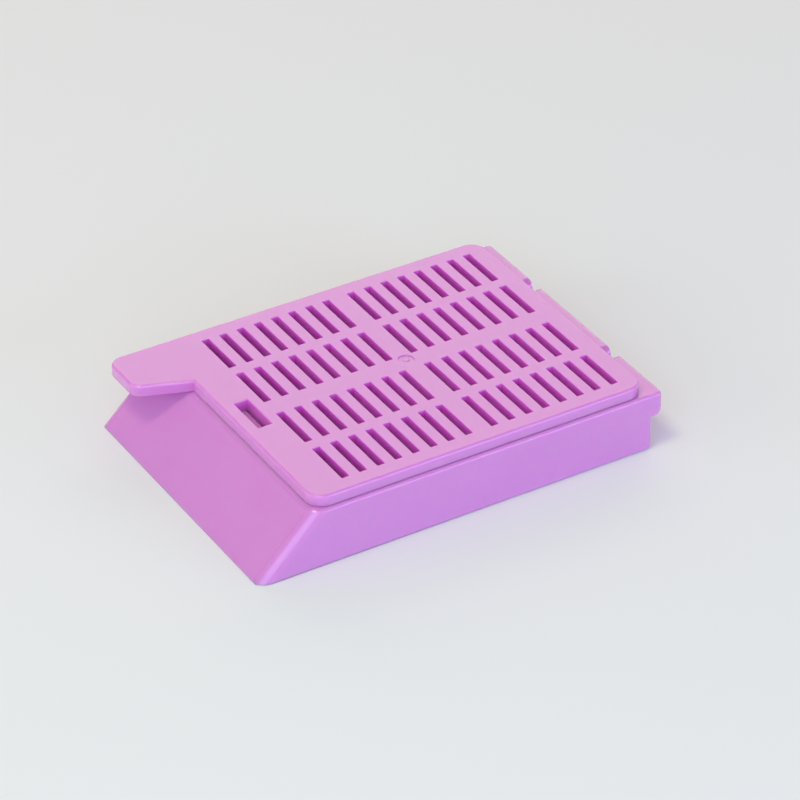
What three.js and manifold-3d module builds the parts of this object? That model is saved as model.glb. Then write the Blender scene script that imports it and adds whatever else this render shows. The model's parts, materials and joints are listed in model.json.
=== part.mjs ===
// Histology tissue cassette: a slotted tray with a 45 degree writing panel, and a slotted lid that
// hooks onto two hinge pins at the rear and latches at the front. Millimetres, +Z up. The writing
// panel faces -Y, the thumb tab is on the -X side, and the origin is the middle of the footprint.
import * as THREE from "three";
import { mergeVertices } from "three/addons/utils/BufferGeometryUtils.js";
import Module from "manifold-3d";

const wasm = await Module();
wasm.setup();

// Overall size, closed.
const LENGTH = 40.6; // foot of the writing panel to the face of the rear ledge
const WIDTH = 28.5; // across the foot, where the draft makes it widest
const HEIGHT = 6.72;

// Tray walls.
const WALL = 1.1; // side, rear and inner front walls
const FLOOR = 1.0;
const LID_THICKNESS = 1.1;
const SEAT_GAP = 0.02; // lid above the rim when it is closed
const DRAFT = THREE.MathUtils.degToRad(1); // lean of the side walls
const RIM_EDGE = 0.3; // edge radii
const BOTTOM_EDGE = 0.2;
const HEEL_EDGE = 0.5; // under the rear wall
const REAR_CORNER = 0.35;
const CHAMBER_CORNER = 0.9;
const CHAMBER_EDGE = 0.35;

// Writing panel.
const PANEL_ANGLE = THREE.MathUtils.degToRad(45);
const PANEL_THICKNESS = 1.1;
const PANEL_SIDE_EDGE = 1.1; // radius where the panel turns into the cheeks
const TOE_LAND = 0.1; // blunt foot of the panel
const RIBS = 2; // webs inside the hollow under the panel
const RIB_THICKNESS = 0.8;

// Rear ledge.
const LEDGE_OVERHANG = 1.1;
const LEDGE_HEIGHT = 2.21;
const LEDGE_CORNER = 0.45;
const LEDGE_UNDER_EDGE = 1.0;

// Lid plate and thumb tab.
const LID_SIDE_INSET = 0.35; // rim that shows beside the lid
const LID_FRONT_INSET = 0.15;
const LID_REAR_INSET = 0.53;
const LID_CORNER = 1.6;
const LID_EDGE = 0.25;
const TAB_ROOT = 6.8; // width where it leaves the lid
const TAB_TIP = 4.9;
const TAB_SETBACK = 0.65; // its tip, behind the foot of the panel
const TAB_OUTER_CORNER = 1.3;
const TAB_INNER_CORNER = 1.2;

// Slots, the same in the lid and in the tray floor.
const SLOT_WIDTH = 0.78;
const SLOT_PITCH = 1.75;
const MIDDLE_PITCH = 2.6; // across the bar between the front and the rear group
const END_BAND = 1.15; // least solid band before and behind the slots
const SIDE_BAND = 0.82; // solid band beside the outer rows
const ROW_BAR = 1.08;
const CENTRE_BAR = 1.98;
const FIELD_OFFSET = -0.06; // middle of the slots from the middle of the chamber

// Moulding gate mark in the middle of the lid.
const GATE_RADIUS = 0.75;
const GATE_DEPTH = 0.1;
const GATE_NUB = 0.28;
const GATE_OFFSET = -0.35;

// Latch: a window in the lid, a tongue that hangs from its rear edge, and a catch in the front wall.
const WINDOW_SETBACK = 1.29; // from the lid's front edge
const WINDOW_WIDTH = 4.25;
const WINDOW_LENGTH = 1.35;
const TONGUE_THICKNESS = 0.9;
const TONGUE_DROP = 2.3; // below the lid plate
const NOSE_REACH = 0.12;
const NOSE_HEIGHT = 0.75;
const LATCH_GAP = 0.18; // tongue to front wall
const CATCH_WIDTH = 5.6;
const POCKET_DEPTH = 0.5; // recess below the catch that the nose springs into
const POCKET_HEIGHT = 1.4;
const CATCH_LIP = 1.43; // solid lip above the pocket

// Hinge: hooks on the lid around pins that cross the gaps in the rear ledge.
const HINGE_SPACING = 12.8;
const HINGE_GAP = 0.95; // width of each gap
const GAP_SHOULDER = 0.9; // radius of the ledge's ends beside a gap
const PIN_RADIUS = 0.33;
const PIN_SETBACK = 0.37; // pin axis behind the rear wall
const PIN_DEPTH = 0.65; // pin axis below the rim
const PIN_CLEARANCE = 0.07;
const HOOK_THICKNESS = 0.4;
const HOOK_SIDE_CLEARANCE = 0.1;
const HOOK_TIP_ANGLE = THREE.MathUtils.degToRad(-46); // where the hook ends behind the pin
const HOOK_DROP = 0.05; // top of the hook arm below the rim
const HOOK_ROOT = 1.4; // length of the arm under the lid
const SWING_CLEARANCE = 0.12;

// Heights and places worked out from the sizes above.
const RIM = HEIGHT - LID_THICKNESS - SEAT_GAP;
const LID_UNDERSIDE = RIM + SEAT_GAP;
const RIM_HALF_WIDTH = WIDTH / 2 - RIM * Math.tan(DRAFT);
const TOE_Y = -LENGTH / 2;
const LID_FRONT_Y = panelY(RIM) + LID_FRONT_INSET;
const REAR_WALL_Y = LENGTH / 2 - LEDGE_OVERHANG;
const LID_REAR_Y = REAR_WALL_Y - LID_REAR_INSET;
const LID_HALF_WIDTH = RIM_HALF_WIDTH - LID_SIDE_INSET;
const WINDOW_FRONT_Y = LID_FRONT_Y + WINDOW_SETBACK;
const TONGUE_Y = WINDOW_FRONT_Y + WINDOW_LENGTH;
const CHAMBER_FRONT_Y = TONGUE_Y - LATCH_GAP;
const CHAMBER_REAR_Y = REAR_WALL_Y - WALL;
const CHAMBER_HALF_WIDTH = RIM_HALF_WIDTH - WALL;
const FIELD_Y = (CHAMBER_FRONT_Y + CHAMBER_REAR_Y) / 2 + FIELD_OFFSET;
const PIN_Y = REAR_WALL_Y + PIN_SETBACK;
const PIN_Z = RIM - PIN_DEPTH;
const HOOK_BORE = PIN_RADIUS + PIN_CLEARANCE;
const HOOK_RADIUS = HOOK_BORE + HOOK_THICKNESS;

/** Where the face of the writing panel is at a height. */
function panelY(z) {
  return TOE_Y + (z - TOE_LAND) / Math.tan(PANEL_ANGLE);
}

const BEYOND = 3; // how far a cutter runs past the faces it cuts
const BURY = 0.25; // how far a joined form runs into its neighbour
const ARC_STEPS = 3; // half the facets of an outline's arc
const EDGE_STEPS = 4;
const ROUND_STEPS = 24;

/** Turns a closed three.js geometry into a solid that can be joined and cut. */
function solidOf(geometry) {
  const plain = geometry.clone();
  plain.deleteAttribute("normal");
  plain.deleteAttribute("uv");
  const merged = mergeVertices(plain, 1e-5);
  return new wasm.Manifold(
    new wasm.Mesh({
      numProp: 3,
      vertProperties: merged.attributes.position.array,
      triVerts: new Uint32Array(merged.index.array),
    }),
  );
}

/** Makes a named mesh from a finished solid. */
function meshOf(name, solid, material) {
  const { vertProperties, triVerts } = solid.getMesh();
  const geometry = new THREE.BufferGeometry();
  geometry.setAttribute("position", new THREE.BufferAttribute(vertProperties, 3));
  geometry.setIndex(new THREE.BufferAttribute(triVerts, 1));
  geometry.computeVertexNormals();
  const mesh = new THREE.Mesh(geometry, material);
  mesh.name = name;
  return mesh;
}

/** A closed anticlockwise outline through corners [x, y, radius], each rounded by an arc. */
function outline(corners) {
  const shape = new THREE.Shape();
  const count = corners.length;
  const place = (i) => new THREE.Vector2(...corners[(i + count) % count].slice(0, 2));
  corners.forEach(([, , radius], i) => {
    const corner = place(i);
    const reachPoint = ({ x, y }) => (i === 0 ? shape.moveTo(x, y) : shape.lineTo(x, y));
    if (!radius) {
      reachPoint(corner);
      return;
    }
    const back = place(i - 1).sub(corner).normalize();
    const ahead = place(i + 1).sub(corner).normalize();
    const half = Math.acos(back.dot(ahead)) / 2;
    const centre = back.clone().add(ahead).setLength(radius / Math.sin(half)).add(corner);
    const reach = radius / Math.tan(half);
    const from = back.clone().multiplyScalar(reach).add(corner).sub(centre);
    const to = ahead.clone().multiplyScalar(reach).add(corner).sub(centre);
    reachPoint(from.clone().add(centre));
    shape.absarc(centre.x, centre.y, radius, from.angle(), to.angle(), back.cross(ahead) > 0);
  });
  return shape;
}

/** A rectangle from (x0, y0) to (x1, y1) with its front and rear corners rounded. */
function plate(x0, y0, x1, y1, frontRadius, rearRadius = frontRadius) {
  return outline([
    [x0, y0, frontRadius],
    [x1, y0, frontRadius],
    [x1, y1, rearRadius],
    [x0, y1, rearRadius],
  ]);
}

/** Extrudes a shape by depth, with both end edges rounded by a radius. */
function extruded(shape, depth, radius = 0) {
  return new THREE.ExtrudeGeometry(shape, {
    depth: depth - 2 * radius,
    bevelEnabled: radius > 0,
    bevelThickness: radius,
    bevelSize: radius,
    bevelOffset: -radius,
    bevelSegments: EDGE_STEPS,
    curveSegments: ARC_STEPS,
  }).translate(0, 0, radius);
}

/** Extrudes a plan outline upwards from z0 to z1. */
function upright(shape, z0, z1, radius) {
  return solidOf(extruded(shape, z1 - z0, radius).translate(0, 0, z0));
}

/** Extrudes a side profile, drawn in Y and Z, along X from x0 to x1. */
function crosswise(shape, x0, x1, radius) {
  const turn = new THREE.Matrix4().makeBasis(
    new THREE.Vector3(0, 1, 0),
    new THREE.Vector3(0, 0, 1),
    new THREE.Vector3(1, 0, 0),
  );
  return solidOf(extruded(shape, x1 - x0, radius).applyMatrix4(turn).translate(x0, 0, 0));
}

/** Extrudes a front profile, drawn in X and Z, along Y from y0 to y1. */
function lengthwise(shape, y0, y1) {
  const turn = new THREE.Matrix4().makeBasis(
    new THREE.Vector3(1, 0, 0),
    new THREE.Vector3(0, 0, 1),
    new THREE.Vector3(0, -1, 0),
  );
  return solidOf(extruded(shape, y1 - y0).applyMatrix4(turn).translate(0, y1, 0));
}

/** A box between two corners. */
function block(x0, y0, z0, x1, y1, z1) {
  return solidOf(
    new THREE.BoxGeometry(x1 - x0, y1 - y0, z1 - z0).translate(
      (x0 + x1) / 2,
      (y0 + y1) / 2,
      (z0 + z1) / 2,
    ),
  );
}

/** Calls build(centreX) for the hinge on each side and returns the results. */
function hinges(build) {
  return [-1, 1].map((side) => build((side * HINGE_SPACING) / 2));
}

/** The slots of one plate, as cutters between two heights. */
function slots(z0, z1) {
  const halfWidth = CHAMBER_HALF_WIDTH - SIDE_BAND;
  const length = (halfWidth - ROW_BAR - CENTRE_BAR / 2) / 2;
  const firstY = MIDDLE_PITCH / 2;
  const room = (CHAMBER_REAR_Y - CHAMBER_FRONT_Y) / 2 - END_BAND - SLOT_WIDTH / 2 - firstY;
  const perGroup = Math.floor(room / SLOT_PITCH) + 1;
  const rows = [CENTRE_BAR / 2 + length / 2, halfWidth - length / 2].flatMap((x) => [-x, x]);
  return rows.flatMap((x) =>
    Array.from({ length: perGroup }, (_, i) => firstY + i * SLOT_PITCH)
      .flatMap((y) => [FIELD_Y - y, FIELD_Y + y])
      .map((y) =>
        block(x - length / 2, y - SLOT_WIDTH / 2, z0, x + length / 2, y + SLOT_WIDTH / 2, z1),
      ),
  );
}

/** Leans the side walls of a solid inwards, the more the higher, so that it leaves its mould. */
function drafted(solid) {
  const { vertProperties, triVerts } = solid.getMesh();
  const lean = Math.tan(DRAFT) / (WIDTH / 2);
  const moved = vertProperties.map((value, i) =>
    i % 3 === 0 ? value * (1 - lean * vertProperties[i + 2]) : value,
  );
  return new wasm.Manifold(new wasm.Mesh({ numProp: 3, vertProperties: moved, triVerts }));
}

/** The rear ledge, before the hinge gaps are cut through it and its top is rounded. */
function ledge() {
  const root = REAR_WALL_Y - WALL;
  const low = RIM - LEDGE_HEIGHT;
  const profile = outline([
    [root, low],
    [LENGTH / 2, low, LEDGE_UNDER_EDGE],
    [LENGTH / 2, HEIGHT],
    [root, HEIGHT],
  ]);
  return crosswise(profile, -WIDTH / 2, WIDTH / 2, 0);
}

/** The outside of the tray: walls and ledge, cut back to the slope of the panel and drafted. */
function trayBlock() {
  const half = WIDTH / 2;
  const front = TOE_Y - BEYOND;
  const top = HEIGHT + BEYOND;
  const wallPlan = plate(-half, front, half, REAR_WALL_Y, 0, REAR_CORNER);
  const rimPlan = plate(-half, front, half, LENGTH / 2, 0, LEDGE_CORNER);
  const heel = outline([
    [-LENGTH, 0],
    [REAR_WALL_Y, 0, HEEL_EDGE],
    [REAR_WALL_Y, top],
    [-LENGTH, top],
  ]);
  const slope = outline([
    [TOE_Y, -BEYOND],
    [LENGTH, -BEYOND],
    [LENGTH, top],
    [panelY(top), top],
    [TOE_Y, TOE_LAND],
  ]);
  return drafted(
    upright(wallPlan, 0, top, BOTTOM_EDGE)
      .intersect(crosswise(heel, -WIDTH, WIDTH, 0))
      .add(ledge())
      .intersect(upright(rimPlan, -BEYOND, RIM, RIM_EDGE))
      .intersect(crosswise(slope, -half, half, PANEL_SIDE_EDGE)),
  );
}

/** The hollow under the writing panel, in bays between the ribs. */
function panelHollow() {
  const slant = PANEL_THICKNESS / Math.sin(PANEL_ANGLE);
  const backY = CHAMBER_FRONT_Y - WALL;
  const topZ = RIM - PANEL_THICKNESS;
  const inside = (z) => panelY(z) + slant;
  const profile = outline([
    [inside(-BEYOND), -BEYOND],
    [backY, -BEYOND],
    [backY, topZ],
    [inside(topZ), topZ],
  ]);
  const bays = RIBS + 1;
  const bay = (2 * CHAMBER_HALF_WIDTH - RIBS * RIB_THICKNESS) / bays;
  return Array.from({ length: bays }, (_, i) => {
    const x = -CHAMBER_HALF_WIDTH + i * (bay + RIB_THICKNESS);
    return crosswise(profile, x, x + bay, 0);
  });
}

/** The pocket in the front wall that the latch's nose springs into. */
function catchPocket() {
  const half = CATCH_WIDTH / 2;
  const high = RIM - CATCH_LIP;
  const front = CHAMBER_FRONT_Y - POCKET_DEPTH;
  return block(-half, front, high - POCKET_HEIGHT, half, CHAMBER_FRONT_Y + BURY, high);
}

/** A hinge gap through the rear wall and the ledge, with rounded shoulders at the top. */
function hingeGap(x) {
  const x0 = x - HINGE_GAP / 2;
  const x1 = x + HINGE_GAP / 2;
  const sill = PIN_Z - HOOK_RADIUS - SWING_CLEARANCE;
  const shoulderZ = RIM - GAP_SHOULDER;
  const profile = new THREE.Shape();
  profile.moveTo(x0, sill);
  profile.lineTo(x1, sill);
  profile.absarc(x1 + GAP_SHOULDER, shoulderZ, GAP_SHOULDER, Math.PI, Math.PI / 2, true);
  profile.lineTo(x1 + GAP_SHOULDER, RIM + BEYOND);
  profile.lineTo(x0 - GAP_SHOULDER, RIM + BEYOND);
  profile.absarc(x0 - GAP_SHOULDER, shoulderZ, GAP_SHOULDER, Math.PI / 2, 0, true);
  const throughWall = lengthwise(profile, CHAMBER_REAR_Y - BURY, LENGTH);
  return throughWall.add(block(x0, REAR_WALL_Y, 0, x1, LENGTH, RIM));
}

/** The tray. */
function tray(material) {
  const chamber = upright(
    plate(
      -CHAMBER_HALF_WIDTH,
      CHAMBER_FRONT_Y,
      CHAMBER_HALF_WIDTH,
      CHAMBER_REAR_Y,
      CHAMBER_CORNER,
    ),
    FLOOR,
    HEIGHT + BEYOND,
    CHAMBER_EDGE,
  );
  const pins = hinges((x) =>
    solidOf(
      new THREE.CylinderGeometry(PIN_RADIUS, PIN_RADIUS, HINGE_GAP + 2 * BURY, ROUND_STEPS)
        .rotateZ(Math.PI / 2)
        .translate(x, PIN_Y, PIN_Z),
    ),
  );
  const cuts = [
    chamber,
    ...panelHollow(),
    catchPocket(),
    ...hinges(hingeGap),
    ...slots(-BEYOND, FLOOR + BEYOND),
  ];
  const body = trayBlock().subtract(wasm.Manifold.union(cuts));
  return meshOf("base", body.add(wasm.Manifold.union(pins)), material);
}

/** The lid's plate with its thumb tab: the top edge is rounded, the underside is flat. */
function lidPlate() {
  const left = -LID_HALF_WIDTH;
  const right = LID_HALF_WIDTH;
  const tabY = TOE_Y + TAB_SETBACK;
  const plan = outline([
    [left, tabY, TAB_OUTER_CORNER],
    [left + TAB_TIP, tabY, TAB_INNER_CORNER],
    [left + TAB_ROOT, LID_FRONT_Y],
    [right, LID_FRONT_Y, LID_CORNER],
    [right, LID_REAR_Y, LID_CORNER],
    [left, LID_REAR_Y, LID_CORNER],
  ]);
  const rounded = upright(plan, LID_UNDERSIDE - BEYOND, HEIGHT, LID_EDGE);
  return rounded.intersect(block(-WIDTH, -LENGTH, LID_UNDERSIDE, WIDTH, LENGTH, HEIGHT));
}

/** The latch tongue, with its nose towards the catch. */
function tongue() {
  const back = TONGUE_Y + TONGUE_THICKNESS;
  const tip = TONGUE_Y - NOSE_REACH;
  const low = LID_UNDERSIDE - TONGUE_DROP;
  const noseTop = low + NOSE_HEIGHT;
  const profile = outline([
    [back - 2 * NOSE_REACH, low],
    [back, low + 2 * NOSE_REACH],
    [back, LID_UNDERSIDE + BURY],
    [TONGUE_Y, LID_UNDERSIDE + BURY],
    [TONGUE_Y, noseTop],
    [tip, noseTop - NOSE_REACH],
    [tip, low + 2 * NOSE_REACH],
    [tip + 2 * NOSE_REACH, low],
  ]);
  return crosswise(profile, -WINDOW_WIDTH / 2, WINDOW_WIDTH / 2, 0);
}

/** A hinge hook: an arm under the lid's rear edge that curls under its pin. */
function hook(x) {
  const halfWidth = HINGE_GAP / 2 - HOOK_SIDE_CLEARANCE;
  const armTop = RIM - HOOK_DROP;
  const rootY = LID_REAR_Y - HOOK_ROOT;
  const profile = new THREE.Shape();
  profile.moveTo(rootY, LID_UNDERSIDE + BURY);
  profile.lineTo(rootY, armTop - HOOK_THICKNESS);
  profile.absarc(PIN_Y, PIN_Z, HOOK_RADIUS, Math.PI, 2 * Math.PI + HOOK_TIP_ANGLE, false);
  profile.absarc(PIN_Y, PIN_Z, HOOK_BORE, 2 * Math.PI + HOOK_TIP_ANGLE, Math.PI, true);
  profile.lineTo(PIN_Y - HOOK_BORE, armTop);
  profile.lineTo(LID_REAR_Y - BURY, armTop);
  profile.lineTo(LID_REAR_Y - BURY, LID_UNDERSIDE + BURY);
  return crosswise(profile, x - halfWidth, x + halfWidth, 0);
}

/** The round gate mark: a shallow dish, and the nub that stands in it. */
function gateMark() {
  const dishFloor = GATE_RADIUS - GATE_DEPTH;
  const dish = new THREE.CylinderGeometry(GATE_RADIUS, dishFloor, GATE_DEPTH, ROUND_STEPS);
  const nub = new THREE.CylinderGeometry(GATE_NUB / 2, GATE_NUB, GATE_DEPTH, ROUND_STEPS / 2);
  const standing = (geometry, z) =>
    solidOf(geometry.rotateX(Math.PI / 2).translate(GATE_OFFSET, FIELD_Y, z));
  return {
    dish: standing(dish, HEIGHT - GATE_DEPTH / 2),
    nub: standing(nub, HEIGHT - GATE_DEPTH),
  };
}

/** The lid. */
function lid(material) {
  const gate = gateMark();
  const window = block(
    -WINDOW_WIDTH / 2,
    WINDOW_FRONT_Y,
    LID_UNDERSIDE - BEYOND,
    WINDOW_WIDTH / 2,
    TONGUE_Y,
    HEIGHT + BEYOND,
  );
  const cuts = [window, gate.dish, ...slots(LID_UNDERSIDE - BEYOND, HEIGHT + BEYOND)];
  const body = lidPlate().subtract(wasm.Manifold.union(cuts));
  return meshOf("lid", wasm.Manifold.union([body, gate.nub, tongue(), ...hinges(hook)]), material);
}

const violetAcetal = () =>
  new THREE.MeshStandardMaterial({ color: 0xd69bdc, roughness: 0.42, metalness: 0 });

const cassette = new THREE.Group();
cassette.name = "tissue_cassette";
cassette.add(tray(violetAcetal()));
cassette.add(lid(violetAcetal()));

export default cassette;
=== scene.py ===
"""Looks of a histology cassette: a slotted tray with a writing panel, and its slotted lid.

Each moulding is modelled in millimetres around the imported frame, with edit-mode operators and
modifiers, then brought to metres, given its acetal finish and tied to its body.
"""

from __future__ import annotations

import json
import logging
import math
from collections.abc import Callable, Iterator
from contextlib import contextmanager
from dataclasses import dataclass
from enum import Enum, IntEnum

import bmesh
import bpy
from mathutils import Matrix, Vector

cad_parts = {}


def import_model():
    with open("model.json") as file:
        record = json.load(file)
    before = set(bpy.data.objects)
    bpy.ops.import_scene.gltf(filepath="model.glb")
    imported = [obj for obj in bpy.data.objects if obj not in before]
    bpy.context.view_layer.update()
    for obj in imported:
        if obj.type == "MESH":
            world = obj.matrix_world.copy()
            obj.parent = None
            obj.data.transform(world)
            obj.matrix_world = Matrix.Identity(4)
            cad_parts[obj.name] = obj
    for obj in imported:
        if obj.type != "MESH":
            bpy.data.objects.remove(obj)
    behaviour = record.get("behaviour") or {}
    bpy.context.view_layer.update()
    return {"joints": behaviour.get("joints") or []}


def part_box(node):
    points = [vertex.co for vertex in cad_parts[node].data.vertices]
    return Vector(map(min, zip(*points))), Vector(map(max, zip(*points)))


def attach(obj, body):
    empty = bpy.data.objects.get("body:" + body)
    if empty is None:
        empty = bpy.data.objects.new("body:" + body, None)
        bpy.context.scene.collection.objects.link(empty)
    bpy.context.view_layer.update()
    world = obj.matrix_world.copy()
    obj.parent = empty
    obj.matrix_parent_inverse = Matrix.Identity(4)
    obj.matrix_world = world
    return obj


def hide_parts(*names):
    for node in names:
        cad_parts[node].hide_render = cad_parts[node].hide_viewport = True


MM = 0.001  # one millimetre in metres
NEAR = 2e-3  # millimetres within which a corner counts as lying on a plane
CUT_PRECISION = 1e-5  # millimetres within which a cut uses a corner that is there
WELD = 1e-4  # millimetres within which two corners become one
FLAT_ANGLE = math.radians(1)  # flatter edges are dissolved
BEYOND = 2.0  # millimetres that a cutter runs past the faces it cuts
BURY = 0.25  # millimetres that a joined form runs into its neighbour
SMOOTH_ANGLE = math.radians(38)  # steeper edges stay crisp
HOOK_STEPS = 14  # facets along the curl of a hinge hook
MIX_A, MIX_B, MIXED = 6, 7, 2  # a Mix node's colour sockets

log = logging.getLogger("cassette")


class Axis(IntEnum):
    """A coordinate of the frame."""

    X = 0
    Y = 1
    Z = 2


class Element(Enum):
    """What edit mode selects."""

    CORNER = "VERT"
    EDGE = "EDGE"
    FACE = "FACE"


class Merge(Enum):
    """How one solid acts on another."""

    CARVE = "DIFFERENCE"
    FUSE = "UNION"
    KEEP_COMMON = "INTERSECT"


class Slot(Enum):
    """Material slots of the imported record."""

    ACETAL = "acetal"


Point = tuple[float, float, float]
Selectable = bmesh.types.BMVert | bmesh.types.BMEdge | bmesh.types.BMFace
Test = Callable[[Selectable], bool]


# ---------------------------------------------------------------- selecting and editing


def deselect_all() -> None:
    """Leaves object mode's selection empty."""
    bpy.ops.object.select_all(action="DESELECT")


def activate(piece: bpy.types.Object) -> None:
    """Makes a piece the only selected and the active object."""
    deselect_all()
    piece.select_set(True)
    bpy.context.view_layer.objects.active = piece


@contextmanager
def editing(piece: bpy.types.Object, element: Element) -> Iterator[bmesh.types.BMesh]:
    """Opens a piece in edit mode with nothing selected.

    Args:
        piece: the mesh object to edit.
        element: what the operators inside select.

    Returns:
        The edit mesh, for choosing elements in code.
    """
    activate(piece)
    bpy.ops.object.mode_set(mode="EDIT")
    bpy.ops.mesh.select_mode(type=element.value)
    bpy.ops.mesh.select_all(action="DESELECT")
    try:
        yield bmesh.from_edit_mesh(piece.data)
    finally:
        bpy.ops.object.mode_set(mode="OBJECT")


def corners_of(item: Selectable) -> list[Vector]:
    """Places of the corners of a vertex, edge or face."""
    if isinstance(item, bmesh.types.BMVert):
        return [item.co]
    return [corner.co for corner in item.verts]


def lies_at(axis: Axis, place: float) -> Test:
    """Tests whether an element lies in the plane where one coordinate has a value."""
    return lambda item: all(abs(co[axis] - place) < NEAR for co in corners_of(item))


@dataclass(frozen=True)
class Plane:
    """A plane through a point, with a normal."""

    point: Vector
    normal: Vector

    def holds(self, item: Selectable) -> bool:
        """Tells whether an element lies in the plane."""
        unit = self.normal.normalized()
        return all(abs((co - self.point).dot(unit)) < NEAR for co in corners_of(item))

    def cut_off(self, piece: bpy.types.Object) -> None:
        """Cuts away what lies on the side that the normal points to, and closes the cut."""
        with editing(piece, Element.FACE):
            bpy.ops.mesh.select_all(action="SELECT")
            bpy.ops.mesh.bisect(
                plane_co=self.point,
                plane_no=self.normal.normalized(),
                use_fill=True,
                clear_outer=True,
                threshold=CUT_PRECISION,
            )


def every(*tests: Test) -> Test:
    """Tests whether an element passes all of several tests."""
    return lambda item: all(test(item) for test in tests)


def either(*tests: Test) -> Test:
    """Tests whether an element passes at least one of several tests."""
    return lambda item: any(test(item) for test in tests)


def lies_below(axis: Axis, limit: float) -> Test:
    """Tests whether no corner of an element has a coordinate past a limit."""
    return lambda item: max(co[axis] for co in corners_of(item)) < limit + NEAR


def runs_along(axis: Axis) -> Test:
    """Tests whether an edge is parallel to an axis."""
    return lambda item: all(
        abs(item.verts[0].co[other] - item.verts[1].co[other]) < NEAR
        for other in Axis
        if other != axis
    )


def choose(mesh: bmesh.types.BMesh, element: Element, test: Test) -> int:
    """Selects the elements that pass a test.

    Args:
        mesh: the edit mesh.
        element: the kind of element.
        test: what an element has to pass.

    Returns:
        How many were selected.
    """
    items = {Element.CORNER: mesh.verts, Element.EDGE: mesh.edges, Element.FACE: mesh.faces}[element]
    chosen = [item for item in items if test(item)]
    for item in chosen:
        item.select_set(True)
    return len(chosen)


def round_edges(piece: bpy.types.Object, test: Test, radius: float, steps: int) -> None:
    """Rounds the edges that pass a test.

    Args:
        piece: the mesh object.
        test: what an edge has to pass.
        radius: radius of the round, in millimetres.
        steps: facets across the round.
    """
    with editing(piece, Element.EDGE) as mesh:
        if not choose(mesh, Element.EDGE, test):
            raise ValueError(f"{piece.name}: no edge to round by {radius} mm")
        bpy.ops.mesh.bevel(
            offset=radius, segments=steps, profile=0.5, affect="EDGES", clamp_overlap=False
        )


def round_corner(piece: bpy.types.Object, place: Vector, setback: float, steps: int) -> None:
    """Rounds one corner of a flat outline, from a setback along both of its edges."""
    with editing(piece, Element.CORNER) as mesh:
        choose(mesh, Element.CORNER, lambda item: (item.co - place).length < NEAR)
        bpy.ops.mesh.bevel(
            offset=setback, segments=steps, profile=0.5, affect="VERTICES", clamp_overlap=False
        )


# ---------------------------------------------------------------- solids


def take_new(name: str) -> bpy.types.Object:
    """Names the object that an add operator has just made, with its place applied."""
    piece = bpy.context.active_object
    piece.name = piece.data.name = name
    bpy.ops.object.transform_apply(location=True, rotation=True, scale=True)
    return piece


def block(name: str, low: Point, high: Point) -> bpy.types.Object:
    """Adds a box between two corners, in millimetres."""
    deselect_all()
    size = Vector(high) - Vector(low)
    middle = (Vector(high) + Vector(low)) / 2
    bpy.ops.mesh.primitive_cube_add(size=1, location=middle, scale=size)
    return take_new(name)


def rod(
    name: str, radius: float, centre: Vector, half_length: float, axis: Axis, sides: int
) -> bpy.types.Object:
    """Adds a round bar along an axis.

    Args:
        name: the new object's name.
        radius: its radius, in millimetres.
        centre: its middle, in millimetres.
        half_length: half its length, in millimetres.
        axis: what it lies along.
        sides: facets around it.

    Returns:
        The bar.
    """
    deselect_all()
    turn = {
        Axis.X: (0, math.pi / 2, 0),
        Axis.Y: (math.pi / 2, 0, 0),
        Axis.Z: (0, 0, 0),
    }[axis]
    bpy.ops.mesh.primitive_cylinder_add(
        vertices=sides, radius=radius, depth=2 * half_length, location=centre, rotation=turn
    )
    return take_new(name)


def combine(piece: bpy.types.Object, other: bpy.types.Object, merge: Merge) -> None:
    """Joins or cuts a solid with another, which is used up."""
    activate(piece)
    bpy.ops.object.modifier_add(type="BOOLEAN")
    modifier = piece.modifiers[-1]
    modifier.operation = merge.value
    modifier.solver = "EXACT"
    modifier.object = other
    bpy.ops.object.modifier_apply(modifier=modifier.name)
    bpy.data.objects.remove(other, do_unlink=True)


def repeat(piece: bpy.types.Object, count: int, step: Vector) -> None:
    """Copies a form in a row inside its own mesh."""
    activate(piece)
    bpy.ops.object.modifier_add(type="ARRAY")
    modifier = piece.modifiers[-1]
    modifier.count = count
    modifier.use_relative_offset = False
    modifier.use_constant_offset = True
    modifier.constant_offset_displace = step
    bpy.ops.object.modifier_apply(modifier=modifier.name)


def reflect(piece: bpy.types.Object, across_x: bool, across_y: bool) -> None:
    """Mirrors a form about its own origin, and points all faces outwards again."""
    activate(piece)
    bpy.ops.object.modifier_add(type="MIRROR")
    modifier = piece.modifiers[-1]
    modifier.use_axis = (across_x, across_y, False)
    modifier.use_mirror_merge = False
    bpy.ops.object.modifier_apply(modifier=modifier.name)
    with editing(piece, Element.FACE):
        bpy.ops.mesh.select_all(action="SELECT")
        bpy.ops.mesh.normals_make_consistent(inside=False)


def set_origin(piece: bpy.types.Object, place: Vector) -> None:
    """Moves an object's origin to a place, and leaves its mesh where it is."""
    bpy.context.scene.cursor.location = place
    activate(piece)
    bpy.ops.object.origin_set(type="ORIGIN_CURSOR")


def apply_place(piece: bpy.types.Object) -> None:
    """Moves an object's place into its mesh."""
    activate(piece)
    bpy.ops.object.transform_apply(location=True, rotation=True, scale=True)


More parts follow.
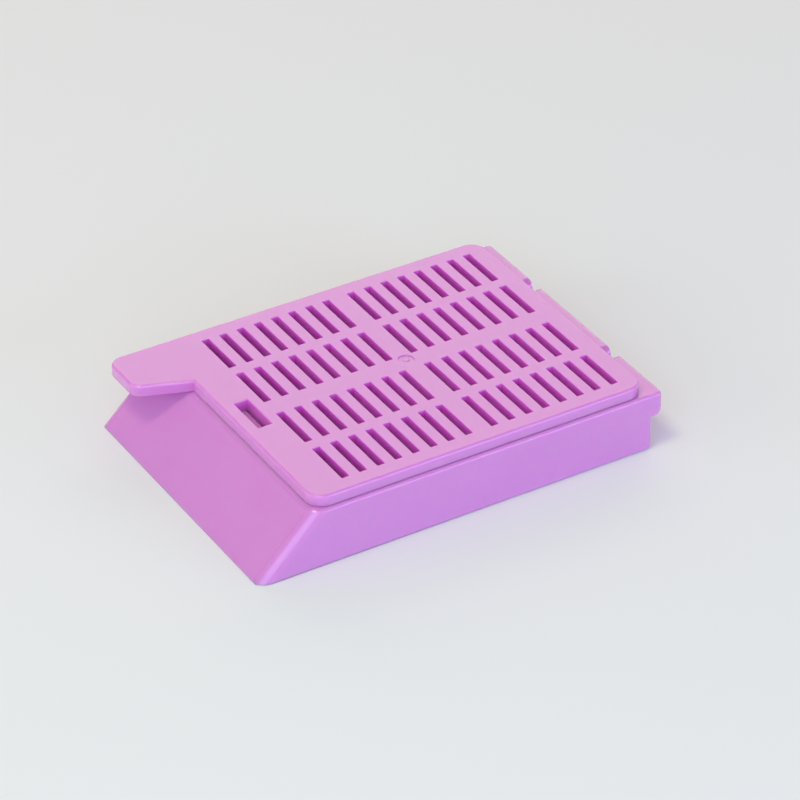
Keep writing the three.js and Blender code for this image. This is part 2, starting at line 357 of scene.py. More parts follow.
@dataclass(frozen=True)
class Mouth:
    """The rounded mouth that a cutter leaves where it comes out of a face."""

    face: float  # height of the face
    radius: float
    upward: bool = True
    along_x: bool = True
    along_y: bool = True
    steps: int = 3

    def start(self) -> float:
        """Height at which the cutter's straight part ends."""
        return self.face - self.radius if self.upward else self.face + self.radius

    def profile(self) -> list[tuple[float, float]]:
        """Rise and spread of each row of the mouth, the last one past the face."""
        turns = [step / self.steps * math.pi / 2 for step in range(self.steps + 1)]
        rows = [(self.radius * math.sin(turn), self.radius * (1 - math.cos(turn))) for turn in turns]
        (rise, spread), (last_rise, last_spread) = rows[-2:]
        return [*rows[:-1], (2 * last_rise - rise, 2 * last_spread - spread)]

    def open(self, cutter: bpy.types.Object) -> None:
        """Widens the end of a cutter in the arc of the round, then runs it past the face."""
        sign = 1 if self.upward else -1
        rows = self.profile()
        with editing(cutter, Element.FACE) as mesh:
            choose(mesh, Element.FACE, lies_at(Axis.Z, self.start()))
            chosen = [corner.co.copy() for corner in mesh.verts if corner.select]
            low, high = (Vector(map(pick, zip(*chosen))) for pick in (min, max))
            size = high - low
            for (rise, spread), (next_rise, next_spread) in zip(rows, rows[1:]):
                bpy.ops.mesh.extrude_region_move(
                    TRANSFORM_OT_translate={"value": (0, 0, sign * (next_rise - rise))}
                )
                grow_x = (size.x + 2 * next_spread) / (size.x + 2 * spread)
                grow_y = (size.y + 2 * next_spread) / (size.y + 2 * spread)
                bpy.ops.transform.resize(
                    value=(grow_x if self.along_x else 1, grow_y if self.along_y else 1, 1),
                    center_override=(low + high) / 2,
                )
            bpy.ops.mesh.extrude_region_move(
                TRANSFORM_OT_translate={"value": (0, 0, sign * BEYOND)}
            )


# ---------------------------------------------------------------- shared layout


@dataclass(frozen=True)
class Layout:
    """Places that both mouldings share, in millimetres, from the frame's boxes."""

    tray_low: Vector
    tray_high: Vector
    lid_low: Vector
    lid_high: Vector
    axis: Vector  # a point on the hinge axis
    wall: float = 1.1
    floor: float = 1.0
    lid_thickness: float = 1.1
    toe_land: float = 0.1
    ledge_overhang: float = 1.1
    lid_side_inset: float = 0.35
    lid_front_inset: float = 0.15
    lid_rear_inset: float = 0.53
    window_setback: float = 1.29
    window_width: float = 4.25
    window_length: float = 1.35
    latch_gap: float = 0.18
    field_offset: float = -0.06
    hinge_spacing: float = 12.8
    hinge_gap: float = 0.95
    pin_radius: float = 0.33
    pin_clearance: float = 0.07
    hook_thickness: float = 0.4

    @property
    def rim(self) -> float:
        """Height of the tray's rim and of its ledge."""
        return self.tray_high.z

    @property
    def top(self) -> float:
        """Height of the closed lid's top."""
        return self.lid_high.z

    @property
    def underside(self) -> float:
        """Height of the closed lid's underside."""
        return self.top - self.lid_thickness

    @property
    def toe_y(self) -> float:
        """Foot of the writing panel."""
        return self.tray_low.y

    @property
    def lid_front_y(self) -> float:
        """Front edge of the lid's plate, just behind the top of the 45 degree panel."""
        return self.toe_y + self.rim - self.toe_land + self.lid_front_inset

    @property
    def rear_wall_y(self) -> float:
        """Outer face of the rear wall."""
        return self.tray_high.y - self.ledge_overhang

    @property
    def lid_rear_y(self) -> float:
        """Rear edge of the lid's plate."""
        return self.rear_wall_y - self.lid_rear_inset

    @property
    def window_front_y(self) -> float:
        """Front edge of the latch window."""
        return self.lid_front_y + self.window_setback

    @property
    def tongue_y(self) -> float:
        """Front face of the latch tongue, which is the window's rear edge."""
        return self.window_front_y + self.window_length

    @property
    def chamber_front_y(self) -> float:
        """Rear face of the tray's inner front wall."""
        return self.tongue_y - self.latch_gap

    @property
    def chamber_rear_y(self) -> float:
        """Front face of the tray's rear wall."""
        return self.rear_wall_y - self.wall

    @property
    def rim_half_width(self) -> float:
        """Half the tray's width at the rim."""
        return self.lid_high.x + self.lid_side_inset

    @property
    def chamber_half_width(self) -> float:
        """Half the width of the specimen chamber."""
        return self.rim_half_width - self.wall

    @property
    def field_y(self) -> float:
        """Middle of the slot field."""
        return (self.chamber_front_y + self.chamber_rear_y) / 2 + self.field_offset

    @property
    def bore(self) -> float:
        """Inner radius of the hinge hooks."""
        return self.pin_radius + self.pin_clearance

    @property
    def hook_radius(self) -> float:
        """Outer radius of the hinge hooks."""
        return self.bore + self.hook_thickness

    @property
    def hinge_places(self) -> tuple[float, float]:
        """Middle of each hinge along X."""
        return (-self.hinge_spacing / 2, self.hinge_spacing / 2)


def read_layout(frame: dict) -> Layout:
    """Reads the boxes of both mouldings and the hinge axis from the frame."""
    tray_low, tray_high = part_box("base")
    lid_low, lid_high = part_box("lid")
    hinge = next(joint for joint in frame["joints"] if joint["name"] == "lid_hinge")
    return Layout(
        tray_low / MM,
        tray_high / MM,
        lid_low / MM,
        lid_high / MM,
        Vector(hinge["pos_m"]) / MM,
    )


@dataclass(frozen=True)
class SlotField:
    """The four rows of slots that both plates carry, in a front and a rear group."""

    width: float = 0.78  # measured half-way across the round of the mouth, as the length is
    length: float = 5.08
    pitch: float = 1.75
    middle_pitch: float = 2.6
    row_bar: float = 1.08
    centre_bar: float = 1.98
    per_group: int = 8
    corner_radius: float = 0.09
    mouth_radius: float = 0.06

    def cutter(self, centre_y: float, low: float, high: float) -> bpy.types.Object:
        """Builds all slots of a plate as one cutter.

        Args:
            centre_y: middle of the slot field.
            low: height of the plate's lower face.
            high: height of the plate's upper face.

        Returns:
            The cutter, with a rounded mouth at both faces.
        """
        upper = Mouth(high, self.mouth_radius)
        lower = Mouth(low, self.mouth_radius, upward=False)
        inset = self.mouth_radius / 2
        x = self.centre_bar / 2 + inset
        y = centre_y + self.middle_pitch / 2
        half = self.width / 2 - inset
        slot = block(
            "slots",
            (x, y - half, lower.start()),
            (x + self.length - 2 * inset, y + half, upper.start()),
        )
        round_edges(slot, runs_along(Axis.Z), self.corner_radius, 2)
        upper.open(slot)
        lower.open(slot)
        set_origin(slot, Vector((0, centre_y, 0)))
        repeat(slot, self.per_group, Vector((0, self.pitch, 0)))
        repeat(slot, 2, Vector((self.length + self.row_bar, 0, 0)))
        reflect(slot, across_x=True, across_y=True)
        apply_place(slot)
        return slot


# ---------------------------------------------------------------- the lid


@dataclass
class Lid:
    """The slotted cover: plate and thumb tab, window and tongue of the latch, and hinge hooks."""

    layout: Layout
    slots: SlotField
    corner: float = 1.6
    edge: float = 0.25
    under_edge: float = 0.08
    tab_root: float = 6.8
    tab_tip: float = 4.9
    tab_outer_corner: float = 1.3
    tab_inner_corner: float = 1.2
    window_corner: float = 0.12
    window_mouth: float = 0.12
    gate_radius: float = 0.75
    gate_depth: float = 0.1
    gate_dish_edge: float = 0.09
    gate_nub: float = 0.28
    gate_offset: float = -0.35
    tongue_thickness: float = 0.9
    tongue_drop: float = 2.3
    nose_reach: float = 0.12
    nose_height: float = 0.75
    nose_edge: float = 0.08
    tongue_end_edge: float = 0.3
    hook_tip: float = math.radians(-46)
    hook_root: float = 1.4
    hook_drop: float = 0.05
    arm_edge: float = 0.2
    hook_side_clearance: float = 0.1

    def outline(self) -> bpy.types.Object:
        """Draws the plan of the plate and its tab as one flat face."""
        place = self.layout
        left, right = place.lid_low.x, place.lid_high.x
        front, rear = place.lid_front_y, place.lid_rear_y
        tip = place.lid_low.y
        deselect_all()
        bpy.ops.mesh.primitive_plane_add(
            size=1, location=((left + right) / 2, (front + rear) / 2, place.underside)
        )
        plan = bpy.context.active_object
        plan.scale = (right - left, rear - front, 1)
        take_new("lid_plate")
        root = left + self.tab_root
        with editing(plan, Element.FACE):
            bpy.ops.mesh.select_all(action="SELECT")
            bpy.ops.mesh.bisect(plane_co=(root, 0, 0), plane_no=(1, 0, 0), threshold=NEAR)
        with editing(plan, Element.EDGE) as mesh:
            choose(mesh, Element.EDGE, every(lies_at(Axis.Y, front), lies_below(Axis.X, root)))
            bpy.ops.mesh.extrude_region_move(TRANSFORM_OT_translate={"value": (0, tip - front, 0)})
        with editing(plan, Element.CORNER) as mesh:
            choose(mesh, Element.CORNER, every(lies_at(Axis.X, root), lies_at(Axis.Y, tip)))
            bpy.ops.transform.translate(value=(self.tab_tip - self.tab_root, 0, 0))
        with editing(plan, Element.FACE):
            bpy.ops.mesh.select_all(action="SELECT")
            bpy.ops.mesh.dissolve_limited(angle_limit=FLAT_ANGLE)
            bpy.ops.mesh.normals_make_consistent(inside=False)
        z = place.underside
        for x, y in ((right, front), (right, rear), (left, rear)):
            round_corner(plan, Vector((x, y, z)), self.corner, 8)
        round_corner(plan, Vector((left, tip, z)), self.tab_outer_corner, 8)
        slant = math.atan2(front - tip, self.tab_root - self.tab_tip)
        setback = self.tab_inner_corner / math.tan((math.pi - slant) / 2)
        round_corner(plan, Vector((left + self.tab_tip, tip, z)), setback, 6)
        return plan

    def plate(self) -> bpy.types.Object:
        """Raises the plan into the plate, with a round top edge and a crisp lower one."""
        place = self.layout
        plate = self.outline()
        with editing(plate, Element.FACE):
            bpy.ops.mesh.select_all(action="SELECT")
            bpy.ops.mesh.extrude_region_move(
                TRANSFORM_OT_translate={"value": (0, 0, place.lid_thickness)}
            )
            bpy.ops.mesh.select_all(action="SELECT")
            bpy.ops.mesh.normals_make_consistent(inside=False)
        round_edges(plate, lies_at(Axis.Z, place.top), self.edge, 6)
        round_edges(plate, lies_at(Axis.Z, place.underside), self.under_edge, 2)
        return plate

    def window(self) -> bpy.types.Object:
        """Builds the cutter of the latch window."""
        place = self.layout
        mouth = Mouth(place.top, self.window_mouth)
        half = place.window_width / 2
        cutter = block(
            "window",
            (-half, place.window_front_y, place.underside - BEYOND),
            (half, place.tongue_y, mouth.start()),
        )
        round_edges(cutter, runs_along(Axis.Z), self.window_corner, 3)
        mouth.open(cutter)
        return cutter

    def gate_dish(self) -> bpy.types.Object:
        """Builds the cutter of the shallow dish around the moulding gate."""
        place = self.layout
        centre = Vector((self.gate_offset, place.field_y, place.top))
        dish = rod("gate_dish", self.gate_radius, centre, self.gate_depth, Axis.Z, 40)
        round_edges(dish, lies_at(Axis.Z, place.top - self.gate_depth), self.gate_dish_edge, 3)
        return dish

    def gate_stub(self) -> bpy.types.Object:
        """Builds the broken-off gate that stands in the dish."""
        place = self.layout
        centre = Vector((self.gate_offset, place.field_y, place.top - self.gate_depth))
        nub = rod("gate_stub", self.gate_nub, centre, self.gate_depth / 2, Axis.Z, 24)
        round_edges(nub, lies_at(Axis.Z, centre.z + self.gate_depth / 2), self.gate_depth / 2, 3)
        return nub

    def tongue(self) -> bpy.types.Object:
        """Builds the latch tongue, with its nose towards the catch."""
        place = self.layout
        half = place.window_width / 2
        front, back = place.tongue_y, place.tongue_y + self.tongue_thickness
        low = place.underside - self.tongue_drop
        tongue = block("tongue", (-half, front, low), (half, back, place.underside + BURY))
        nose_top = low + self.nose_height
        with editing(tongue, Element.FACE) as mesh:
            bpy.ops.mesh.select_all(action="SELECT")
            bpy.ops.mesh.bisect(
                plane_co=(0, 0, nose_top), plane_no=(0, 0, 1), threshold=NEAR
            )
            bpy.ops.mesh.select_all(action="DESELECT")
            choose(mesh, Element.FACE, every(lies_at(Axis.Y, front), lies_below(Axis.Z, nose_top)))
            bpy.ops.mesh.extrude_region_move(
                TRANSFORM_OT_translate={"value": (0, -self.nose_reach, 0)}
            )
        tip = front - self.nose_reach
        for y, z, radius, steps in (
            (tip, low, self.tongue_end_edge, 4),
            (tip, nose_top, self.nose_edge, 3),
            (back, low, self.tongue_end_edge, 4),
        ):
            round_edges(tongue, every(lies_at(Axis.Y, y), lies_at(Axis.Z, z)), radius, steps)
        return tongue

    def hook(self, x: float) -> bpy.types.Object:
        """Builds one hinge hook: an arm under the plate that curls under its pin."""
        place = self.layout
        half = place.hinge_gap / 2 - self.hook_side_clearance
        axis = place.axis
        arm_top = place.rim - self.hook_drop
        arm_low = arm_top - place.hook_thickness
        root_y = place.lid_rear_y - self.hook_root
        front = axis.y - place.hook_radius
        back = axis.y - place.bore
        curl = block("hook", (x - half, front, axis.z), (x + half, back, arm_low + BURY))
        with editing(curl, Element.FACE) as mesh:
            choose(mesh, Element.FACE, lies_at(Axis.Z, axis.z))
            bpy.ops.mesh.spin(
                steps=HOOK_STEPS,
                angle=math.pi + self.hook_tip,
                center=(x, axis.y, axis.z),
                axis=(-1, 0, 0),
            )
            bpy.ops.mesh.select_all(action="SELECT")
            bpy.ops.mesh.normals_make_consistent(inside=False)
        arm = block("hook_arm", (x - half, root_y, arm_low), (x + half, back, arm_top))
        round_edges(arm, every(lies_at(Axis.Y, root_y), lies_at(Axis.Z, arm_low)), self.arm_edge, 3)
        root = block(
            "hook_root",
            (x - half, root_y, arm_top - BURY),
            (x + half, place.lid_rear_y - BURY, place.underside + BURY),
        )
        combine(arm, root, Merge.FUSE)
        combine(curl, arm, Merge.FUSE)
        return curl

    def build(self) -> bpy.types.Object:
        """Puts the lid together and returns it as one closed moulding."""
        place = self.layout
        lid = self.plate()
        combine(lid, self.slots.cutter(place.field_y, place.underside, place.top), Merge.CARVE)
        combine(lid, self.window(), Merge.CARVE)
        combine(lid, self.gate_dish(), Merge.CARVE)
        combine(lid, self.gate_stub(), Merge.FUSE)
        combine(lid, self.tongue(), Merge.FUSE)
        for x in place.hinge_places:
            combine(lid, self.hook(x), Merge.FUSE)
        lid.name = lid.data.name = "lid_moulding"
        return lid

    def dress(self, lid: bpy.types.Object) -> None:
        """Gives the lid its satin skin."""
        lid.data.materials.append(MouldedAcetal().material())


# ---------------------------------------------------------------- the tray


@dataclass
class Tray:
    """The slotted tray: walls, writing panel over its ribbed hollow, ledge, hinge pins and catch."""

    layout: Layout
    slots: SlotField
    rim_edge: float = 0.3
    heel_edge: float = 0.5
    panel_side_edge: float = 1.1
    panel_thickness: float = 1.1
    chamber_corner: float = 0.9
    chamber_edge: float = 0.35
    chamber_mouth: float = 0.1
    ribs: int = 2
    rib_thickness: float = 0.8
    ledge_height: float = 2.21
    ledge_corner: float = 0.45
    ledge_under_edge: float = 1.0
    gap_shoulder: float = 0.9
    swing_clearance: float = 0.12
    catch_width: float = 5.6
    catch_lip: float = 1.43
    pocket_depth: float = 0.5
    pocket_height: float = 1.4

    def sides(self, inset: float = 0.0) -> tuple[Plane, Plane]:
        """Gives the planes of the two side walls, which lean inwards for the mould."""
        place = self.layout
        foot = place.tray_high.x
        lean = foot - place.rim_half_width
        left, right = (
            Plane(Vector((side * (foot - inset), 0, 0)), Vector((side * place.rim, 0, lean)))
            for side in (-1, 1)
        )
        return left, right

    def slope(self) -> Plane:
        """Gives the plane of the writing panel, which rises at 45 degrees from its toe."""
        place = self.layout
        return Plane(Vector((0, place.toe_y, place.toe_land)), Vector((0, -1, 1)))

    def wedge(self) -> bpy.types.Object:
        """Builds the outside of the tray, with its drafted walls and sloping panel."""
        place = self.layout
        foot = place.tray_high.x + BEYOND
        body = block(
            "tray",
            (-foot, place.toe_y - BEYOND, -3 * BEYOND),
            (foot, place.rear_wall_y, place.rim + BEYOND),
        )
        slope = self.slope()
        for plane in (*self.sides(), slope):
            plane.cut_off(body)
        on_side = either(*(side.holds for side in self.sides()))
        round_edges(body, every(on_side, slope.holds), self.panel_side_edge, 8)
        for plane in (
            Plane(Vector((0, place.toe_y, 0)), Vector((0, -1, 0))),
            Plane(Vector((0, 0, 0)), Vector((0, 0, -1))),
            Plane(Vector((0, 0, place.rim)), Vector((0, 0, 1))),
        ):
            plane.cut_off(body)
        at_rear = lies_at(Axis.Y, place.rear_wall_y)
        at_foot = lies_at(Axis.Z, 0)
        at_rim = lies_at(Axis.Z, place.rim)
        round_edges(body, every(at_rear, at_foot), self.heel_edge, 5)
        behind_panel = either(
            at_foot, lambda edge: min(co.y for co in corners_of(edge)) > place.lid_front_y
        )
        round_edges(body, either(at_rim, every(on_side, behind_panel)), self.rim_edge, 4)
        return body

    def ledge(self) -> bpy.types.Object:
        """Builds the rear ledge: a bar rounded along its lower edge, trimmed to the tray's plan."""
        place = self.layout
        half = place.tray_high.x + BEYOND
        low = place.rim - self.ledge_height
        face = place.tray_high.y
        root = place.chamber_rear_y
        at_face = lies_at(Axis.Y, face)
        at_rim = lies_at(Axis.Z, place.rim)
        bar = block("ledge", (-half, root, low), (half, face, place.rim))
        round_edges(bar, every(at_face, lies_at(Axis.Z, low)), self.ledge_under_edge, 8)
        plan = block("ledge_plan", (-half, root - BURY, low - BURY), (half, face, place.rim))
        sides = self.sides(inset=2 * NEAR)
        for side in sides:
            side.cut_off(plan)
        on_side = either(*(side.holds for side in sides))
        round_edges(plan, every(at_face, on_side), self.ledge_corner, 5)
        round_edges(plan, at_rim, self.rim_edge, 4)
        combine(bar, plan, Merge.KEEP_COMMON)
        return bar

    def chamber(self) -> bpy.types.Object:
        """Builds the cutter of the specimen chamber."""
        place = self.layout
        mouth = Mouth(place.rim, self.chamber_mouth)
        half = place.chamber_half_width
        cutter = block(
            "chamber",
            (-half, place.chamber_front_y, place.floor),
            (half, place.chamber_rear_y, mouth.start()),
        )
        round_edges(cutter, runs_along(Axis.Z), self.chamber_corner, 6)
        round_edges(cutter, lies_at(Axis.Z, place.floor), self.chamber_edge, 4)
        mouth.open(cutter)
        return cutter

    def hollow(self) -> bpy.types.Object:
        """Builds the cutter of the bays under the writing panel, between the ribs."""
        place = self.layout
        half = place.chamber_half_width
        bay = (2 * half - self.ribs * self.rib_thickness) / (self.ribs + 1)
        back = place.chamber_front_y - place.wall
        slant = self.panel_thickness * math.sqrt(2)
        cutter = block(
            "hollow",
            (-half, place.toe_y, -BEYOND),
            (-half + bay, back, place.rim - self.panel_thickness),
        )
        Plane(Vector((0, place.toe_y + slant, place.toe_land)), Vector((0, -1, 1))).cut_off(cutter)
        repeat(cutter, self.ribs + 1, Vector((bay + self.rib_thickness, 0, 0)))
        return cutter

    def hinge_gap(self, x: float) -> bpy.types.Object:
        """Builds the cutter of one hinge gap, with shoulders that open towards the rim."""
        place = self.layout
        half = place.hinge_gap / 2
        sill = place.axis.z - place.hook_radius - self.swing_clearance
        mouth = Mouth(place.rim, self.gap_shoulder, along_y=False, steps=6)
        cutter = block(
            "hinge_gap",
            (x - half, place.chamber_rear_y - BURY, sill),
            (x + half, place.tray_high.y + BEYOND, mouth.start()),
        )
        mouth.open(cutter)
        below = block(
            "ledge_gap",
            (x - half, place.rear_wall_y, 0),
            (x + half, place.tray_high.y + BEYOND, sill + BURY),
        )
        combine(cutter, below, Merge.FUSE)
        return cutter

    def pin(self, x: float) -> bpy.types.Object:
        """Builds one hinge pin, buried in the ledge at both ends."""
        place = self.layout
        centre = Vector((x, place.axis.y, place.axis.z))
        return rod("pin", place.pin_radius, centre, place.hinge_gap / 2 + BURY, Axis.X, 32)

    def pocket(self) -> bpy.types.Object:
        """Builds the cutter of the recess that the latch's nose springs into."""
        place = self.layout
        half = self.catch_width / 2
        high = place.rim - self.catch_lip
        front = place.chamber_front_y - self.pocket_depth
        return block(
            "pocket",
            (-half, front, high - self.pocket_height),
            (half, place.chamber_front_y + BURY, high),
        )

    def build(self) -> bpy.types.Object:
        """Puts the tray together and returns it as one closed moulding."""
        place = self.layout
        tray = self.wedge()
        combine(tray, self.ledge(), Merge.FUSE)
        combine(tray, self.chamber(), Merge.CARVE)
        combine(tray, self.slots.cutter(place.field_y, 0, place.floor), Merge.CARVE)
        combine(tray, self.hollow(), Merge.CARVE)
        combine(tray, self.pocket(), Merge.CARVE)
        for x in place.hinge_places:
            combine(tray, self.hinge_gap(x), Merge.CARVE)
            combine(tray, self.pin(x), Merge.FUSE)
        tray.name = tray.data.name = "tray_moulding"
        return tray

    def dress(self, tray: bpy.types.Object) -> None:
        """Gives the tray its satin skin, and its writing panel the etched one."""
        tray.data.materials.append(MouldedAcetal().material())
        tray.data.materials.append(ETCHED_ACETAL.material())
        activate(tray)
        tray.active_material_index = 1
        with editing(tray, Element.FACE) as mesh:
            choose(mesh, Element.FACE, self.slope().holds)
            bpy.ops.object.material_slot_assign()


def finish_moulding(piece: bpy.types.Object) -> None:
    """Cleans a moulding's mesh, smooths its rounds, keeps its flats flat and brings it to metres."""
    with editing(piece, Element.FACE):
        bpy.ops.mesh.select_all(action="SELECT")
        bpy.ops.mesh.remove_doubles(threshold=WELD)
        bpy.ops.mesh.normals_make_consistent(inside=False)
    piece.scale = (MM, MM, MM)
    apply_place(piece)
    bpy.ops.object.shade_smooth_by_angle(angle=SMOOTH_ANGLE)
    bpy.ops.object.modifier_add(type="WEIGHTED_NORMAL")
    modifier = piece.modifiers[-1]
    modifier.keep_sharp = True
    modifier.weight = 100  # the largest face at a corner sets its normal
    bpy.ops.object.modifier_apply(modifier=modifier.name)


# ---------------------------------------------------------------- finishes


def linear(code: str) -> tuple[float, float, float, float]:
    """Turns an sRGB hex code into the linear colour that the shaders take."""
    parts = [int(code[i : i + 2], 16) / 255 for i in (1, 3, 5)]
    return (*(c / 12.92 if c <= 0.04045 else ((c + 0.055) / 1.055) ** 2.4 for c in parts), 1.0)


def add_node(
    tree: bpy.types.NodeTree,
    kind: str,
    settings: dict[str, object] | None = None,
    inputs: dict[str | int, object] | None = None,
) -> bpy.types.Node:
    """Adds a node.

    Args:
        tree: the tree that it joins.
        kind: the node's type name.
        settings: values of its properties.
        inputs: values of its sockets, or the sockets that feed them.

    Returns:
        The node.
    """
    node = tree.nodes.new(kind)
    for name, value in (settings or {}).items():
        setattr(node, name, value)
    for name, value in (inputs or {}).items():
        if isinstance(value, bpy.types.NodeSocket):
            tree.links.new(value, node.inputs[name])
        else:
            node.inputs[name].default_value = value
    return node


@dataclass(frozen=True)
class MouldedAcetal:
    """Injection-moulded acetal (POM) in violet: a dense, slightly milky plastic.

    It sets against smooth steel, so a thin glossy skin lies over a softer, satin body and gives
    small glints on rounded edges. The steel leaves a faint grain, drawn a few times coarser than
    the real one so that it shows, and the pigment carries barely visible clouds. In slots and
    corners the colour is painted a deeper, purer violet from an ambient-occlusion mask: painted
    shade, standing in for the light that bounces there between the walls.
    """

    name: str = "violet_moulded_acetal"
    pigment: str = "#d488cd"
    cloud: str = "#d78bd0"
    painted_shade_colour: str = "#ea64e0"
    roughness: float = 0.25
    index: float = 1.48
    skin: float = 1.0  # weight of the glossy skin
    skin_roughness: float = 0.12
    cloud_size: float = 6.0  # these sizes are in millimetres
    painted_shade_reach: float = 2.0
    painted_shade_full_below: float = 0.35  # share of the sky that a face sees where the painted shade is deepest
    painted_shade_none_above: float = 0.9  # the same where no painted shade is left
    grain_size: float = 0.22
    grain_depth: float = 0.0015
    scatter_depth: float = 0.8
    scatter: tuple[float, float, float] = (1.0, 0.4, 0.9)

    def colour(self, tree: bpy.types.NodeTree, place: bpy.types.NodeSocket) -> bpy.types.NodeSocket:
        """Mixes the cloudy pigment with painted shade: a deeper, purer violet inside slots and corners.

        Args:
            tree: the material's nodes.
            place: the object's own coordinates.

        Returns:
            The socket that gives the colour.
        """
        cloud = add_node(
            tree,
            "ShaderNodeTexNoise",
            inputs={"Vector": place, "Scale": 1 / (self.cloud_size * MM), "Detail": 3.0},
        )
        open_face = add_node(
            tree,
            "ShaderNodeMix",
            {"data_type": "RGBA"},
            {0: cloud.outputs["Fac"], MIX_A: linear(self.pigment), MIX_B: linear(self.cloud)},
        )
        # Painted shade: an ambient-occlusion mask paints the colour deeper where a face sees little
        # sky.
        painted_shade_openness = add_node(
            tree,
            "ShaderNodeAmbientOcclusion",
            {"only_local": True, "samples": 8},
            {"Distance": self.painted_shade_reach * MM},
        )
        painted_shade_mask = add_node(
            tree,
            "ShaderNodeMapRange",
            inputs={
                "Value": painted_shade_openness.outputs["AO"],
                "From Min": self.painted_shade_full_below,
                "From Max": self.painted_shade_none_above,
            },
        )
        pigment_with_painted_shade = add_node(
            tree,
            "ShaderNodeMix",
            {"data_type": "RGBA"},
            {0: painted_shade_mask.outputs["Result"], MIX_A: linear(self.painted_shade_colour), MIX_B: open_face.outputs[MIXED]},
        )
        return pigment_with_painted_shade.outputs[MIXED]

    def material(self) -> bpy.types.Material:
        """Builds the material."""
        made = bpy.data.materials.new(self.name)
        made.use_nodes = True
        tree = made.node_tree
        tree.nodes.clear()
        place = add_node(tree, "ShaderNodeTexCoord").outputs["Object"]
        grain = add_node(
            tree,
            "ShaderNodeTexNoise",
            inputs={"Vector": place, "Scale": 1 / (self.grain_size * MM), "Detail": 2.0},
        )
        bump = add_node(
            tree,
            "ShaderNodeBump",
            inputs={"Height": grain.outputs["Fac"], "Distance": self.grain_depth * MM, "Strength": 1.0},
        )
        shader = add_node(
            tree,
            "ShaderNodeBsdfPrincipled",
            inputs={
                "Base Color": self.colour(tree, place),
                "Roughness": self.roughness,
                "IOR": self.index,
                "Coat Weight": self.skin,
                "Coat Roughness": self.skin_roughness,
                "Normal": bump.outputs["Normal"],
                "Subsurface Weight": 1.0,
                "Subsurface Radius": self.scatter,
                "Subsurface Scale": self.scatter_depth * MM,
            },
        )
        add_node(tree, "ShaderNodeOutputMaterial", inputs={"Surface": shader.outputs["BSDF"]})
        return made


# The same acetal where the mould was etched so that the panel takes pencil and ink: no gloss, and
# a grain that is drawn about twice as coarse as the real one, so that it shows.
ETCHED_ACETAL = MouldedAcetal(
    name="etched_writing_panel_acetal",
    roughness=0.5,
    skin=0.0,
    grain_size=0.16,
    grain_depth=0.006,
)


# ---------------------------------------------------------------- studio


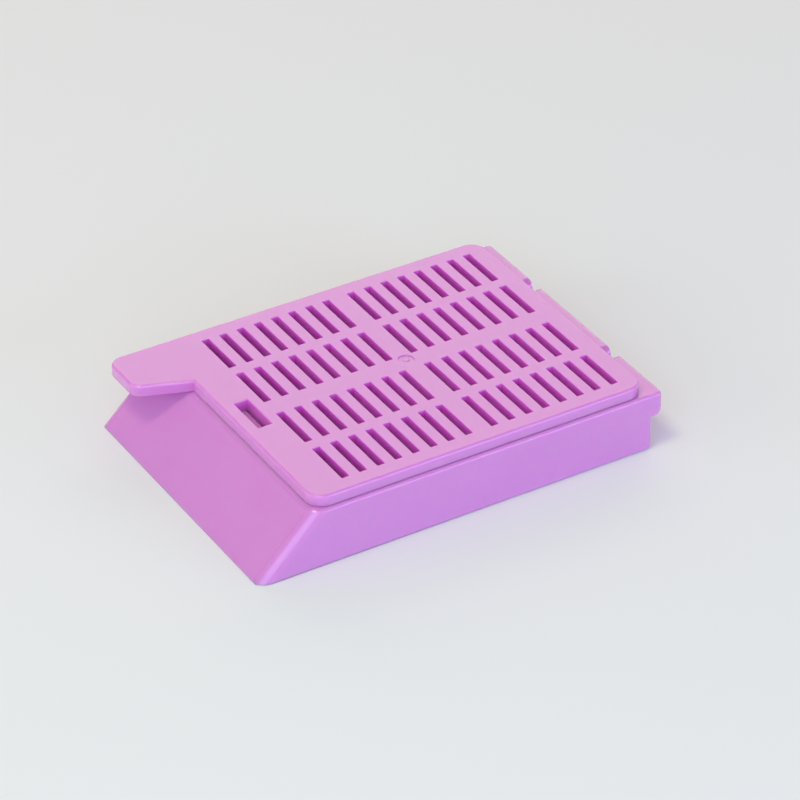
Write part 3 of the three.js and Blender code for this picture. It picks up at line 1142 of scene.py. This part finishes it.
@dataclass(frozen=True)
class Studio:
    """Pale floor, soft lamps and the camera. Lengths are in millimetres."""

    target: Point = (1.5, 1.15, 4.1)
    azimuth: float = math.radians(58.85)
    elevation: float = math.radians(34.3)
    distance: float = 354.0
    focal_length: float = 182.2
    sensor: float = 36.0
    floor_size: float = 4000.0
    floor_gap: float = 0.02
    floor_colour: str = "#edeeef"
    floor_roughness: float = 0.9
    floor_gloss: float = 0.1
    fill: float = 0.4

    def camera(self) -> None:
        """Stands the camera at its angle, looking at the target."""
        flat = math.cos(self.elevation)
        back = Vector(
            (
                math.sin(self.azimuth) * flat,
                -math.cos(self.azimuth) * flat,
                math.sin(self.elevation),
            )
        )
        data = bpy.data.cameras.new("camera")
        data.lens = self.focal_length
        data.sensor_width = self.sensor
        data.clip_start = 10 * MM
        data.clip_end = 10.0
        camera = bpy.data.objects.new("camera", data)
        camera.location = (Vector(self.target) + back * self.distance) * MM
        camera.rotation_euler = (-back).to_track_quat("-Z", "Y").to_euler()
        bpy.context.collection.objects.link(camera)
        bpy.context.scene.camera = camera

    def lamp(
        self,
        name: str,
        place: Point,
        size: tuple[float, float],
        power: float,
        colour: str,
    ) -> None:
        """Hangs a flat soft lamp that faces the object.

        Args:
            name: the lamp's name.
            place: where it hangs, in millimetres.
            size: its width and height, in millimetres.
            power: its power in watts.
            colour: its sRGB hex colour.
        """
        data = bpy.data.lights.new(name, "AREA")
        data.shape = "RECTANGLE"
        data.size, data.size_y = (side * MM for side in size)
        data.energy = power
        data.color = linear(colour)[:3]
        lamp = bpy.data.objects.new(name, data)
        lamp.location = Vector(place) * MM
        lamp.rotation_euler = Vector(place).to_track_quat("Z", "Y").to_euler()
        bpy.context.collection.objects.link(lamp)

    def floor(self) -> None:
        """Lays the floor just under the tray."""
        deselect_all()
        bpy.ops.mesh.primitive_plane_add(
            size=self.floor_size * MM, location=(0, 0, -self.floor_gap * MM)
        )
        floor = bpy.context.active_object
        floor.name = "floor"
        paint = bpy.data.materials.new("matt_floor_paint")
        paint.use_nodes = True
        shader = paint.node_tree.nodes["Principled BSDF"]
        shader.inputs["Base Color"].default_value = linear(self.floor_colour)
        shader.inputs["Roughness"].default_value = self.floor_roughness
        shader.inputs["Specular IOR Level"].default_value = self.floor_gloss
        floor.data.materials.append(paint)

    def world(self) -> None:
        """Lights everything evenly from all around."""
        world = bpy.data.worlds.new("studio")
        world.use_nodes = True
        bpy.context.scene.world = world
        tree = world.node_tree
        tree.nodes.clear()
        fill = add_node(
            tree,
            "ShaderNodeBackground",
            inputs={"Color": linear("#ffffff"), "Strength": self.fill},
        )
        add_node(tree, "ShaderNodeOutputWorld", inputs={"Surface": fill.outputs["Background"]})

    def build(self) -> None:
        """Sets up the whole studio."""
        bpy.context.scene.view_settings.view_transform = "Standard"
        self.camera()
        self.world()
        self.lamp("key", (42, -208, 520), (160, 160), 0.81, "#fafcc4")
        self.lamp("back", (-420, 260, 270), (700, 320), 0.93, "#ffe2f6")
        self.lamp("cool_side", (330, 150, 50), (240, 160), 0.58, "#b8d4ff")
        self.lamp("cool_corner", (300, -260, 190), (380, 380), 1.02, "#c2d4ff")
        self.lamp("front", (-60, -420, 130), (300, 160), 0.31, "#f4fcf4")
        self.floor()


def main() -> None:
    """Builds the studio and both mouldings around the frame."""
    logging.basicConfig(level=logging.INFO, format="%(name)s: %(message)s")
    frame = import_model()
    layout = read_layout(frame)
    Studio().build()
    slots = SlotField()
    for maker, node in ((Tray(layout, slots), "base"), (Lid(layout, slots), "lid")):
        piece = maker.build()
        maker.dress(piece)
        finish_moulding(piece)
        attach(piece, node)
        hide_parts(node)
        log.info("%s: %d faces", piece.name, len(piece.data.polygons))


if __name__ == "__main__":
    main()
